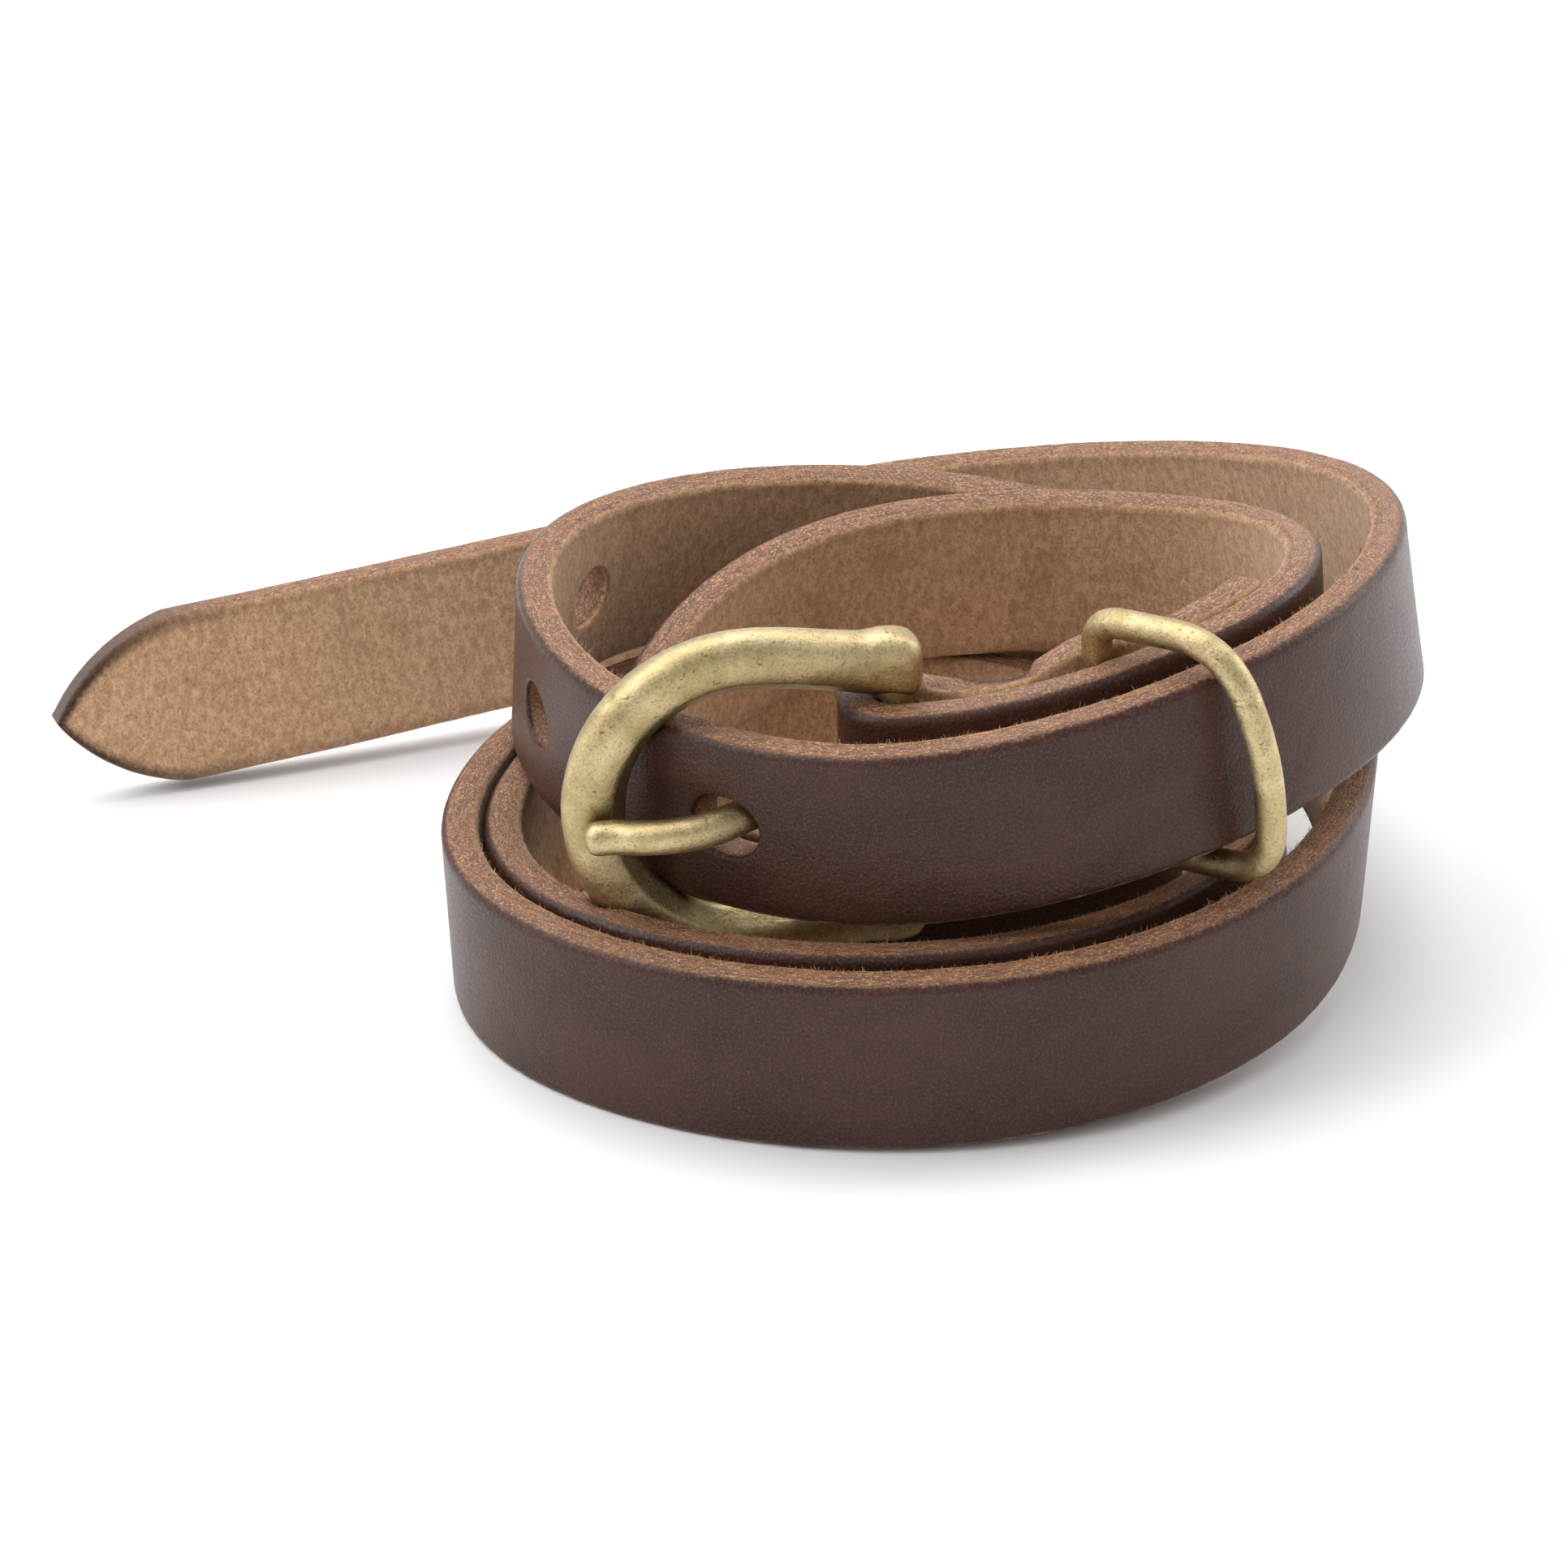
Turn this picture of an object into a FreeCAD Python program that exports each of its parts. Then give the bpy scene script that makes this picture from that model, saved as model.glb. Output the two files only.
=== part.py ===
"""A coiled leather dress belt with a brass horseshoe buckle.

The strap is wound four and three-quarter turns in two tiers, its end buckled, its tail laid out flat.
Frame: origin on the table plane under the middle of the whole belt, +Z up, +Y away from the buckle side.
Everything is worked out about the middle of the coil and moved to COIL_PLACE when it is exported.
Millimetres and degrees throughout.
"""

import FreeCAD, Part
import math
import os

from FreeCAD import Vector

COIL_PLACE = Vector(17.01, -7.85, 0)

# Strap leather
STRAP_WIDTH = 19.0
STRAP_THICKNESS = 3.8
TIP_LENGTH = 13.5
TIP_BULGE = 1.7
EDGE_SETTLE = 0.1
TABLE_SIZE = 300.0
TABLE_DEPTH = 10.0
CUT_OVERSHOOT = 8.0
SECTIONS_PER_SPAN = 16
SECTIONS_PER_PANEL = 12

# Belt holes, counted from the buckle
HOLE_RADIUS = 3.4
HOLE_PITCH = 30.0
BAR_TO_LAST_HOLE = 891.5
HOLE_COUNT = 5
PUNCH_SPARE = 1.0

# The coil is a uniform cubic B-spline. Its control points stand COIL_STEP degrees apart round the
# origin, starting one step before the heel bar: (radius, height of the lower edge, outward lean).
COIL_START = -150.0
COIL_STEP = 60.0
COIL = [
    (50.0, 31.0, -2),
    (28.5, 14.5, 2),
    (51.5, 33.5, -4),
    (50.0, 19.5, -6),
    (28.0, 20.6, -12),
    (27.5, 14.5, -9),
    (37.0, 4.0, -3),
    (17.5, 0.0, -1),
    (34.5, 0.0, 0),
    (34.0, 0.0, 1),
    (35.0, 0.0, 1),
    (40.0, 0.0, 0),
    (52.8, 0.0, 4),
    (46.5, 0.0, -4),
    (47.5, 0.0, -8),
    (47.0, 0.0, -6),
    (41.0, 0.0, -5),
    (45.5, 0.0, -2),
    (57.8, 0.0, 6),
    (53.0, 0.0, 4),
    (58.0, 3.0, 5),
    (56.0, 11.0, 1),
    (45.5, 17.0, -12),
    (48.0, 20.2, -9),
    (40.0, 20.0, 6),
    (41.5, 18.0, 4),
    (56.0, 31.5, -4),
    (66.5, 20.5, -12),
]
# The tail leaves the coil and comes down to the table: (x, y, height, lean). It ends at the last point.
TAIL = [
    (27.5, 61.0, 10.5, -6),
    (-4.0, 62.0, 6.0, -1),
    (-32.0, 52.0, 4.0, 3),
    (-60.0, 40.5, 2.2, 6),
    (-89.3, 30.6, 0.0, 7),
]

# Turnback: the strap end folded round the heel bar and screwed down on the flesh side
TURNBACK_LENGTH = 44.0
LAYER_GAP = 0.2
FOLD_CLOSE = 11.0
KEEPER_RAMP = 9.5
SLOT_WIDTH = 4.6
SLOT_REACH = 6.0
FOLD_SECTIONS = 12
END_SECTION_GAP = 1.0

# Buckle, measured from the heel bar towards the bow
BAR_RADIUS = 1.85
BAR_CLEARANCE = 0.05
BAR_HALF_LENGTH = 15.2
BUCKLE_SWING = 9.5
BUCKLE_SAG = 0.5
BOW_CENTRE = 15.1
BOW_RADIUS = 15.2
BUCKLE_TRAVEL = 1.5
DENT_SPARE = 0.08
HEEL_HALF_HEIGHT = 13.6
HEEL_END = -1.8
FRAME_WIDTH = 6.1
FRAME_DEPTH = 5.1
BOSS_RADIUS = 3.4
BOSS_AT = (0.6, 14.2)

# Tongue centre line off the heel bar: (towards the bow, outward, up)
TONGUE_PATH = [
    (2.2, 0.1, 0.6),
    (8.0, 1.3, 0.6),
    (13.2, 3.0, 0.6),
    (18.9, 6.3, 0.5),
    (22.5, 7.1, 0.4),
    (26.0, 6.2, 0.0),
    (28.4, 4.95, -0.3),
    (30.3, 4.4, -0.5),
]
TONGUE_RADIUS = 1.7
TONGUE_EYE_RADIUS = 3.3
TONGUE_CLEARANCE = 0.06
TONGUE_WIDTH = 3.6
TONGUE_TRAVEL = 4.0
HOLE_STRETCH_RADIUS = 1.95
HOLE_STRETCH_LENGTH = 8.0

# Keeper loop, measured from its straight inner side
KEEPER_WIRE_RADIUS = 1.55
KEEPER_AT = 22.7
KEEPER_DEPTH = 18.6
KEEPER_TOP = 13.5
KEEPER_BOTTOM = -11.9
KEEPER_INNER_CORNER = 3.0
KEEPER_OUTER_CORNER = 7.5
KEEPER_HEADING = -39.0
KEEPER_ROLL = 5.0
KEEPER_SLACK = 0.5

# Binding screws
SCREWS = {"front": 15.5, "rear": 36.5}
HEAD_RADIUS = 4.3
HEAD_DOME = 1.3
HEAD_SEAT_RADIUS = 4.4
BARREL_RADIUS = 2.4
BARREL_FIT = 0.02
BARREL_SHORT_OF_STACK = 0.3
BORE_FLOOR = 0.8
THREAD_RADIUS = 1.45
THREAD_SHORT_OF_STACK = 2.0
SEAT_CUT_INSIDE = 4.0
SEAT_CUT_OUTSIDE = 1.0
SLOT_CUT_WIDTH = 1.0
SLOT_CUT_DEPTH = 0.7

UP = Vector(0, 0, 1)


# ---------------------------------------------------------------- strap path


def control_points():
    """Control points as (position of the lower edge, lean in degrees)."""
    points = []
    for index, (radius, height, lean) in enumerate(COIL):
        angle = math.radians(COIL_START + COIL_STEP * index)
        points.append((Vector(radius * math.cos(angle), radius * math.sin(angle), height), lean))
    for x, y, height, lean in TAIL:
        points.append((Vector(x, y, height), lean))
    end, before = points[-1], points[-2]
    points.append((end[0] * 2 - before[0], 2 * end[1] - before[1]))
    return points


def path_at(points, t):
    """Centre line position and the along, out and across directions at spline parameter t."""
    span = min(int(t), len(points) - 4)
    f = t - span
    value = [(1 - f) ** 3, 3 * f**3 - 6 * f**2 + 4, -3 * f**3 + 3 * f**2 + 3 * f + 1, f**3]
    slope = [-((1 - f) ** 2), 3 * f**2 - 4 * f, -3 * f**2 + 2 * f + 1, f**2]
    position = Vector()
    along = Vector()
    lean = 0.0
    for weight, rate, (point, point_lean) in zip(value, slope, points[span : span + 4]):
        position += point * (weight / 6)
        along += point * (rate / 2)
        lean += point_lean * weight / 6
    along.normalize()
    upright = UP - along * along.dot(UP)
    upright.normalize()
    level = along.cross(upright)
    tilt = math.radians(lean)
    across = upright * math.cos(tilt) + level * math.sin(tilt)
    out = level * math.cos(tilt) - upright * math.sin(tilt)
    return position + UP * (STRAP_WIDTH / 2 - EDGE_SETTLE), along, out, across


def main_run():
    """Stations (distance, centre, along, out, across) from the heel bar to the tip."""
    points = control_points()
    spans = len(points) - 3
    stations = []
    distance = 0.0
    for step in range(spans * SECTIONS_PER_SPAN + 1):
        centre, along, out, across = path_at(points, step / SECTIONS_PER_SPAN)
        if stations:
            distance += (centre - stations[-1][1]).Length
        stations.append((distance, centre, along, out, across))
    return stations


def station_at(stations, distance):
    """The station at a distance along the strap, worked out between its two neighbours."""
    for before, after in zip(stations, stations[1:]):
        if after[0] >= distance:
            break
    share = (distance - before[0]) / (after[0] - before[0])
    mixed = [a * (1 - share) + b * share for a, b in zip(before[1:], after[1:])]
    for direction in mixed[1:]:
        direction.normalize()
    return [distance] + mixed


def ease(x):
    """Smooth step from 0 to 1."""
    x = max(0.0, min(1.0, x))
    return x * x * (3 - 2 * x)


def turnback_offset(distance):
    """How far the turnback's centre line lies inside the main layer's."""
    touching = STRAP_THICKNESS + LAYER_GAP
    fold = 2 * fold_radius()
    keeper_bulge = 2 * KEEPER_WIRE_RADIUS + KEEPER_SLACK - LAYER_GAP
    near_fold = (fold - touching) * (1 - ease(distance / FOLD_CLOSE))
    near_keeper = keeper_bulge * (1 - ease(abs(distance - KEEPER_AT) / KEEPER_RAMP))
    return touching + near_fold + near_keeper


def fold_radius():
    return BAR_RADIUS + BAR_CLEARANCE + STRAP_THICKNESS / 2


def bar_place(stations):
    """Buckle centre on the heel bar, with the bow, out and up directions of the buckle at rest."""
    _, centre, along, out, across = stations[0]
    bar = centre - out * fold_radius() - across * BUCKLE_SAG
    swing = math.radians(BUCKLE_SWING)
    to_bow = along * (-math.cos(swing)) + out * math.sin(swing)
    buckle_out = out * math.cos(swing) + along * math.sin(swing)
    return bar, to_bow, buckle_out, across


# ---------------------------------------------------------------- strap


def strap_sections(stations):
    """Cross-section frames (centre, out, across) from the turnback's end to the tip."""
    sections = []
    inner = [s for s in stations if s[0] < TURNBACK_LENGTH - END_SECTION_GAP and s[0] > 0]
    inner.append(station_at(stations, TURNBACK_LENGTH))
    for distance, centre, _, out, across in reversed(inner):
        sections.append((centre - out * turnback_offset(distance), out * -1, across))
    _, centre, along, out, across = stations[0]
    bar = centre - out * fold_radius()
    for step in range(FOLD_SECTIONS):
        angle = math.pi * (1 - step / FOLD_SECTIONS)
        spoke = out * math.cos(angle) - along * math.sin(angle)
        sections.append((bar + spoke * fold_radius(), spoke, across))
    for _, centre, _, out, across in stations:
        sections.append((centre, out, across))
    return sections


def strap_solid(stations):
    """Ruled faces between the strap's four long edges, in short panels, closed by its two ends."""
    sections = strap_sections(stations)
    parameters = [0.0]
    for before, after in zip(sections, sections[1:]):
        parameters.append(parameters[-1] + (after[0] - before[0]).Length)
    half_t = STRAP_THICKNESS / 2
    half_w = STRAP_WIDTH / 2
    curves = []
    for side, level in ((1, 1), (1, -1), (-1, -1), (-1, 1)):
        points = [c + o * (side * half_t) + a * (level * half_w) for c, o, a in sections]
        curve = Part.BSplineCurve()
        curve.interpolate(Points=points, Parameters=parameters)
        curves.append(curve)
    breaks = parameters[::SECTIONS_PER_PANEL]
    if breaks[-1] < parameters[-1]:
        breaks[-1] = parameters[-1]
    faces = []
    for start, end in zip(breaks, breaks[1:]):
        edges = [curve.toShape(start, end) for curve in curves]
        faces += [Part.makeRuledSurface(edges[i], edges[(i + 1) % 4]) for i in range(4)]
    for end in (breaks[0], breaks[-1]):
        corners = [curve.value(end) for curve in curves]
        faces.append(Part.Face(Part.makePolygon(corners + corners[:1])))
    shell = Part.makeShell(faces)
    shell.sewShape()
    solid = Part.makeSolid(shell)
    if solid.Volume < 0:
        solid.reverse()
    return solid


def prism(origin, x_dir, y_dir, z_dir, wire_points, low, high):
    """Extrude a closed polygon given in (x, y) of a local frame, from low to high along z."""
    corners = [origin + x_dir * x + y_dir * y + z_dir * low for x, y in wire_points]
    face = Part.Face(Part.makePolygon(corners + corners[:1]))
    return face.extrude(z_dir * (high - low))


def tip_waste(stations):
    """The two corners trimmed off the end to leave an arched point."""
    _, end, along, out, across = stations[-1]
    half = STRAP_WIDTH / 2
    root = end - along * TIP_LENGTH
    chord = math.hypot(TIP_LENGTH, half)
    arch_radius = chord**2 / (8 * TIP_BULGE) + TIP_BULGE / 2
    far, side = TIP_LENGTH + CUT_OVERSHOOT, half + CUT_OVERSHOOT
    outline = [(0, -side), (far, -side), (far, side), (0, side)]
    blank = prism(root, along, across, out, outline, -CUT_OVERSHOOT, CUT_OVERSHOOT)
    arch = None
    for side in (1, -1):
        shoulder = root + across * (side * half)
        inward = (along * half + across * (side * TIP_LENGTH)) * (-1 / chord)
        middle = (shoulder + end) * 0.5 + inward * (arch_radius - TIP_BULGE) - out * CUT_OVERSHOOT
        disc = Part.makeCylinder(arch_radius, 2 * CUT_OVERSHOOT, middle, out)
        arch = disc if arch is None else arch.common(disc)
    return blank.cut(arch)


def punch(stations, distance, radius):
    """A round punch through one layer of strap."""
    _, centre, _, out, _ = station_at(stations, distance)
    reach = STRAP_THICKNESS / 2 + PUNCH_SPARE
    return Part.makeCylinder(radius, 2 * reach, centre - out * reach, out)


def tongue_slot(stations):
    """Oblong slot through both layers at the fold, where the tongue reaches the heel bar."""
    _, centre, along, out, across = stations[0]
    bar = centre - out * fold_radius()
    half = SLOT_WIDTH / 2
    past = CUT_OVERSHOOT
    outline = [(-SLOT_REACH, -half), (past, -half), (past, half), (-SLOT_REACH, half)]
    slot = prism(bar, along * -1, across, out, outline, -past, past)
    end = Part.makeCylinder(half, 2 * past, bar + along * SLOT_REACH - out * past, out)
    return slot.fuse(end)


def screw_axis(stations, distance):
    """Where a binding screw goes through both layers: main layer's face, direction out, stack height."""
    _, centre, _, out, _ = station_at(stations, distance)
    stack = STRAP_THICKNESS + turnback_offset(distance)
    return centre + out * (STRAP_THICKNESS / 2), out, stack


def stretched_hole(stations):
    """Slanted openings where the tongue has pulled the hole it sits in, over the tongue's travel."""
    bar, to_bow, out, across = bar_place(stations)
    low, high = [bar + to_bow * b + out * o + across * a for b, o, a in TONGUE_PATH[2:4]]
    slant = high - low
    slant.normalize()
    start = (low + high) * 0.5 - slant * (HOLE_STRETCH_LENGTH / 2)
    openings = []
    for share in (0.0, 0.5, 1.0):
        opening = Part.makeCylinder(HOLE_STRETCH_RADIUS, HOLE_STRETCH_LENGTH, start, slant)
        opening.rotate(bar, across, TONGUE_TRAVEL * share)
        openings.append(opening)
    return openings


def bow_dents(stations):
    """Where the bow bears on the turns in front and behind, over the small swing it is left with."""
    bar, _, _, across = bar_place(stations)
    dents = []
    for share in (0.0, 1.0):
        dent = horseshoe(stations, DENT_SPARE)
        dent.rotate(bar, across, BUCKLE_TRAVEL * share)
        dents.append(dent)
    return dents


def make_strap(stations):
    strap = strap_solid(stations)
    cutters = [tip_waste(stations), tongue_slot(stations)]
    for index in range(HOLE_COUNT):
        cutters.append(punch(stations, BAR_TO_LAST_HOLE - HOLE_PITCH * index, HOLE_RADIUS))
    cutters += stretched_hole(stations)
    cutters += bow_dents(stations)
    for distance in SCREWS.values():
        face, out, stack = screw_axis(stations, distance)
        radius = BARREL_RADIUS + BARREL_FIT
        through = stack + SEAT_CUT_OUTSIDE + SEAT_CUT_INSIDE
        cutters.append(Part.makeCylinder(radius, through, face + out * SEAT_CUT_OUTSIDE, out * -1))
        cutters.append(Part.makeCylinder(HEAD_SEAT_RADIUS, SEAT_CUT_INSIDE, face - out * stack, out * -1))
        cutters.append(Part.makeCylinder(HEAD_SEAT_RADIUS, SEAT_CUT_OUTSIDE, face, out))
    table_corner = Vector(-TABLE_SIZE / 2, -TABLE_SIZE / 2, -TABLE_DEPTH)
    cutters.append(Part.makeBox(TABLE_SIZE, TABLE_SIZE, TABLE_DEPTH, table_corner))
    for cutter in cutters:
        strap = strap.cut(cutter)
    return strap


# ---------------------------------------------------------------- buckle


def horseshoe(stations, spare=0.0):
    """A round bow, two rails closing in and ball ends; spare thickens the section all round."""
    bar, to_bow, out, across = bar_place(stations)

    def place(bow, height):
        return bar + to_bow * bow + across * height

    def section(spot):
        ring = Part.Ellipse(Vector(), FRAME_WIDTH / 2 + spare, FRAME_DEPTH / 2 + spare).toShape()
        ring.Placement = local_placement(spot, across, out, across.cross(out))
        return Part.Wire([ring])

    bow_low = place(BOW_CENTRE, -BOW_RADIUS)
    bow_mid = place(BOW_CENTRE + BOW_RADIUS, 0)
    bow_high = place(BOW_CENTRE, BOW_RADIUS)
    bow = Part.Wire([Part.Arc(bow_low, bow_mid, bow_high).toShape()])
    body = bow.makePipeShell([section(bow_low)], True, True)
    for side in (1, -1):
        start = place(BOW_CENTRE, side * BOW_RADIUS)
        heel = place(HEEL_END, side * HEEL_HALF_HEIGHT)
        body = body.fuse(Part.makeLoft([section(start), section(heel)], True))
        body = body.fuse(Part.makeSphere(BOSS_RADIUS + spare, place(BOSS_AT[0], side * BOSS_AT[1])))
    return body


def make_buckle_frame(stations):
    return horseshoe(stations).cut(make_heel_bar(stations)).removeSplitter()


def local_placement(origin, x_dir, y_dir, z_dir):
    """Placement whose local axes point along three given directions."""
    matrix = FreeCAD.Matrix(
        x_dir.x, y_dir.x, z_dir.x, origin.x,
        x_dir.y, y_dir.y, z_dir.y, origin.y,
        x_dir.z, y_dir.z, z_dir.z, origin.z,
        0, 0, 0, 1,
    )
    return FreeCAD.Placement(matrix)


def make_heel_bar(stations):
    bar, _, _, across = bar_place(stations)
    length = 2 * BAR_HALF_LENGTH
    return Part.makeCylinder(BAR_RADIUS, length, bar - across * BAR_HALF_LENGTH, across)


def make_tongue(stations):
    """Eye round the heel bar and a round shaft that rises through the hole and rests on the bow."""
    bar, to_bow, out, across = bar_place(stations)
    points = [bar + to_bow * b + out * o + across * a for b, o, a in TONGUE_PATH]
    eye_low = bar + across * (TONGUE_PATH[0][2] - TONGUE_WIDTH / 2)
    eye = Part.makeCylinder(TONGUE_EYE_RADIUS, TONGUE_WIDTH, eye_low, across)
    curve = Part.BSplineCurve()
    curve.interpolate(Points=points)
    start = curve.tangent(curve.FirstParameter)[0]
    ring = Part.Wire([Part.Circle(points[0], start, TONGUE_RADIUS).toShape()])
    shaft = Part.Wire([curve.toShape()]).makePipeShell([ring], True, True)
    tip = Part.makeSphere(TONGUE_RADIUS, points[-1])
    tongue = eye.fuse(shaft).fuse(tip)
    bore_radius = BAR_RADIUS + TONGUE_CLEARANCE
    bore_start = eye_low - across * TONGUE_WIDTH
    bore = Part.makeCylinder(bore_radius, 3 * TONGUE_WIDTH, bore_start, across)
    return tongue.cut(bore).removeSplitter()


# ---------------------------------------------------------------- keeper


def keeper_place(stations):
    """Middle of the keeper's straight side, with its reach and up directions."""
    _, centre, along, out, across = station_at(stations, KEEPER_AT)
    inset = STRAP_THICKNESS / 2 + KEEPER_SLACK / 2 + KEEPER_WIRE_RADIUS
    roll = math.radians(KEEPER_ROLL)
    up = across * math.cos(roll) + along * math.sin(roll)
    heading = math.radians(KEEPER_HEADING)
    reach = Vector(math.cos(heading), math.sin(heading), 0)
    reach = reach - up * reach.dot(up)
    reach.normalize()
    return centre - out * inset, reach, up


def rounded_loop(corners, radii):
    """Closed wire through the corners of a polygon, each corner rounded by its own radius."""
    arrivals = []
    bends = []
    leavings = []
    for index, (corner, radius) in enumerate(zip(corners, radii)):
        back = corners[index - 1] - corner
        ahead = corners[(index + 1) % len(corners)] - corner
        back.normalize()
        ahead.normalize()
        arrivals.append(corner + back * radius)
        leavings.append(corner + ahead * radius)
        crown = corner + (back + ahead) * (radius * (1 - math.sqrt(0.5)))
        bends.append(Part.Arc(arrivals[-1], crown, leavings[-1]).toShape())
    edges = []
    for index, bend in enumerate(bends):
        edges.append(Part.makeLine(leavings[index - 1], arrivals[index]))
        edges.append(bend)
    return Part.Wire(edges)


def make_keeper(stations):
    """Round wire bent into a rounded rectangle, its straight side held between the strap's layers."""
    origin, reach, up = keeper_place(stations)
    outer = origin + reach * KEEPER_DEPTH
    corners = [
        origin + up * KEEPER_BOTTOM,
        origin + up * KEEPER_TOP,
        outer + up * KEEPER_TOP,
        outer + up * KEEPER_BOTTOM,
    ]
    radii = [KEEPER_INNER_CORNER, KEEPER_INNER_CORNER, KEEPER_OUTER_CORNER, KEEPER_OUTER_CORNER]
    loop = rounded_loop(corners, radii)
    start = corners[0] + reach * KEEPER_INNER_CORNER
    ring = Part.Wire([Part.Circle(start, reach, KEEPER_WIRE_RADIUS).toShape()])
    return loop.makePipeShell([ring], True, True)


# ---------------------------------------------------------------- binding screws


def dome(face, out):
    """Low domed head standing on a face."""
    ball_radius = (HEAD_RADIUS**2 + HEAD_DOME**2) / (2 * HEAD_DOME)
    ball = Part.makeSphere(ball_radius, face + out * (HEAD_DOME - ball_radius))
    return ball.common(Part.makeCylinder(HEAD_RADIUS + 1, HEAD_DOME + 1, face, out))


def make_screw_post(stations, distance):
    """Domed head on the grain side with a threaded barrel that passes through both layers."""
    face, out, stack = screw_axis(stations, distance)
    barrel_length = stack - BARREL_SHORT_OF_STACK
    post = dome(face, out).fuse(Part.makeCylinder(BARREL_RADIUS, barrel_length, face, out * -1))
    bore_start = face - out * barrel_length
    bore = Part.makeCylinder(THREAD_RADIUS, barrel_length - BORE_FLOOR, bore_start, out)
    return post.cut(bore).removeSplitter()


def make_binding_screw(stations, distance):
    """Slotted screw driven into the post from the turnback side."""
    face, out, stack = screw_axis(stations, distance)
    seat = face - out * stack
    thread = Part.makeCylinder(THREAD_RADIUS, stack - THREAD_SHORT_OF_STACK, seat, out)
    screw = dome(seat, out * -1).fuse(thread)
    _, _, along, _, across = station_at(stations, distance)
    half = SLOT_CUT_WIDTH / 2
    long = HEAD_RADIUS + 1
    outline = [(-long, -half), (long, -half), (long, half), (-long, half)]
    groove = prism(seat, along, across, out * -1, outline, HEAD_DOME - SLOT_CUT_DEPTH, HEAD_DOME + 1)
    return screw.cut(groove).removeSplitter()


def main():
    os.makedirs("parts", exist_ok=True)
    stations = main_run()
    shapes = {
        "strap": make_strap(stations),
        "buckle_frame": make_buckle_frame(stations),
        "heel_bar": make_heel_bar(stations),
        "buckle_tongue": make_tongue(stations),
        "keeper_loop": make_keeper(stations),
    }
    for name, distance in SCREWS.items():
        shapes["screw_post_" + name] = make_screw_post(stations, distance)
        shapes["binding_screw_" + name] = make_binding_screw(stations, distance)
    for node, shape in shapes.items():
        if shape.ShapeType == "Compound" and len(shape.Solids) == 1:
            shape = shape.Solids[0]
        shape.translate(COIL_PLACE)
        shape.exportStep("parts/" + node + ".step")


main()
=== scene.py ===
"""Looks of the coiled leather belt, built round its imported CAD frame.

Lengths are millimetres in the frame's axes until a mesh is made, which is in metres. The strap is
drawn flat, as (distance along, across, through its thickness), and then bent along the coil's path.
"""

import math

import bpy
import numpy as np
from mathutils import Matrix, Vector, noise


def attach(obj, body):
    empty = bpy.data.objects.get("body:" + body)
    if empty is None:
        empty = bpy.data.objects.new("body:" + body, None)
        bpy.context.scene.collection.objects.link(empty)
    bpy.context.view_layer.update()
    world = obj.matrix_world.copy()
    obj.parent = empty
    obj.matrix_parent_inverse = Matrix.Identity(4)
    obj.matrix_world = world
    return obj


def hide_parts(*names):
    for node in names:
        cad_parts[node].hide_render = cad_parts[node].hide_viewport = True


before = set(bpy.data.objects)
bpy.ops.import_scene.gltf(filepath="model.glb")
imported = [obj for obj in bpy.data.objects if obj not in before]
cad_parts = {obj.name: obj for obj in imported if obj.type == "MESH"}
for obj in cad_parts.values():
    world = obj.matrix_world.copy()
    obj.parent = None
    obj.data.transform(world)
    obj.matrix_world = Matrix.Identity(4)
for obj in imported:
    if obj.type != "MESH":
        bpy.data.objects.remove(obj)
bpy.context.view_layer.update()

MM = 0.001
COIL_PLACE = np.array([17.01, -7.85, 0.0])
UP = np.array([0.0, 0.0, 1.0])

# ---------------------------------------------------------------- the belt's driving dimensions

STRAP_WIDTH = 19.0
STRAP_THICKNESS = 3.8
HALF_WIDTH = STRAP_WIDTH / 2
HALF_THICK = STRAP_THICKNESS / 2
TIP_LENGTH = 13.5
TIP_BULGE = 1.7
EDGE_SETTLE = 0.1
STEPS_PER_SPAN = 48
TURNBACK_PITCH = 0.5

HOLE_RADIUS = 3.4
HOLE_PITCH = 30.0
BAR_TO_LAST_HOLE = 891.5
HOLE_COUNT = 5

# Control points of the coil's centre line, a uniform cubic B-spline: (radius, lower edge, outward lean)
COIL_START = -150.0
COIL_STEP = 60.0
COIL = [
    (50.0, 31.0, -2),
    (28.5, 14.5, 2),
    (51.5, 33.5, -4),
    (50.0, 19.5, -6),
    (28.0, 20.6, -12),
    (27.5, 14.5, -9),
    (37.0, 4.0, -3),
    (17.5, 0.0, -1),
    (34.5, 0.0, 0),
    (34.0, 0.0, 1),
    (35.0, 0.0, 1),
    (40.0, 0.0, 0),
    (52.8, 0.0, 4),
    (46.5, 0.0, -4),
    (47.5, 0.0, -8),
    (47.0, 0.0, -6),
    (41.0, 0.0, -5),
    (45.5, 0.0, -2),
    (57.8, 0.0, 6),
    (53.0, 0.0, 4),
    (58.0, 3.0, 5),
    (56.0, 11.0, 1),
    (45.5, 17.0, -12),
    (48.0, 20.2, -9),
    (40.0, 20.0, 6),
    (41.5, 18.0, 4),
    (56.0, 31.5, -4),
    (66.5, 20.5, -12),
]
# The tail leaves the coil and comes down to the table: (x, y, lower edge, lean)
TAIL = [
    (27.5, 61.0, 10.5, -6),
    (-4.0, 62.0, 6.0, -1),
    (-32.0, 52.0, 4.0, 3),
    (-60.0, 40.5, 2.2, 6),
    (-89.3, 30.6, 0.0, 7),
]

TURNBACK_LENGTH = 44.0
LAYER_GAP = 0.2
FOLD_CLOSE = 11.0
KEEPER_RAMP = 9.5
SLOT_WIDTH = 4.6
SLOT_REACH = 6.0
FOLD_STEPS = 24

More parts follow.
